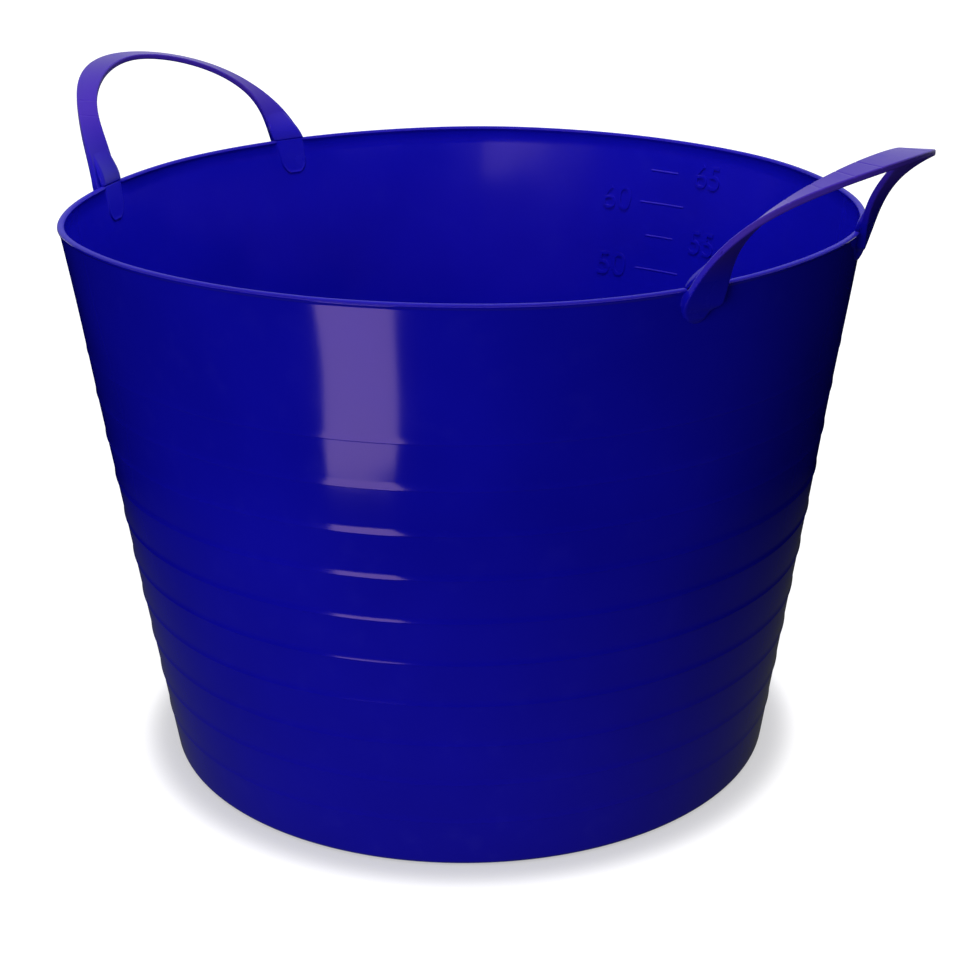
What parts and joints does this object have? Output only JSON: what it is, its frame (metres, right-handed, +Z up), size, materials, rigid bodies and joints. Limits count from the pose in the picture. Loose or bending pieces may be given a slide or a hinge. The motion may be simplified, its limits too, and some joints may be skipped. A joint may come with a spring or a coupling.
{
  "type": "flexible bucket",
  "caption": "Soft round plastic tub with a beaded rim, stiffening rings round the lower wall and springy strap handles that fold up and in for carrying.",
  "frame": {"origin": "on the ground under the middle of the base", "axes": "+X out through the right-hand grip, +Z up, +Y to the rear between the handles"},
  "size_m": [0.676, 0.54, 0.4594],
  "materials": {
    "body": "glossy deep blue soft polyethylene"
  },
  "bodies": {
    "tub": {"base": "body", "ringed_wall": "body", "plain_wall": "body", "rim_bead": "body", "right_front_root": "body", "right_rear_root": "body", "left_front_root": "body", "left_rear_root": "body"},
    "right_handle": {"right_strap": "body"},
    "left_handle": {"left_strap": "body"}
  },
  "joints": [
    {"name": "right_fold", "type": "hinge", "parent": "tub", "child": "right_handle", "pos_m": [0.25858, 0, 0.399], "axis": [0, -1, 0], "range_deg": [-45, 75], "stiffness_Nm_per_rad": 1},
    {"name": "left_fold", "type": "hinge", "parent": "tub", "child": "left_handle", "pos_m": [-0.25858, 0, 0.399], "axis": [0, 1, 0], "range_deg": [-45, 75], "stiffness_Nm_per_rad": 1}
  ]
}
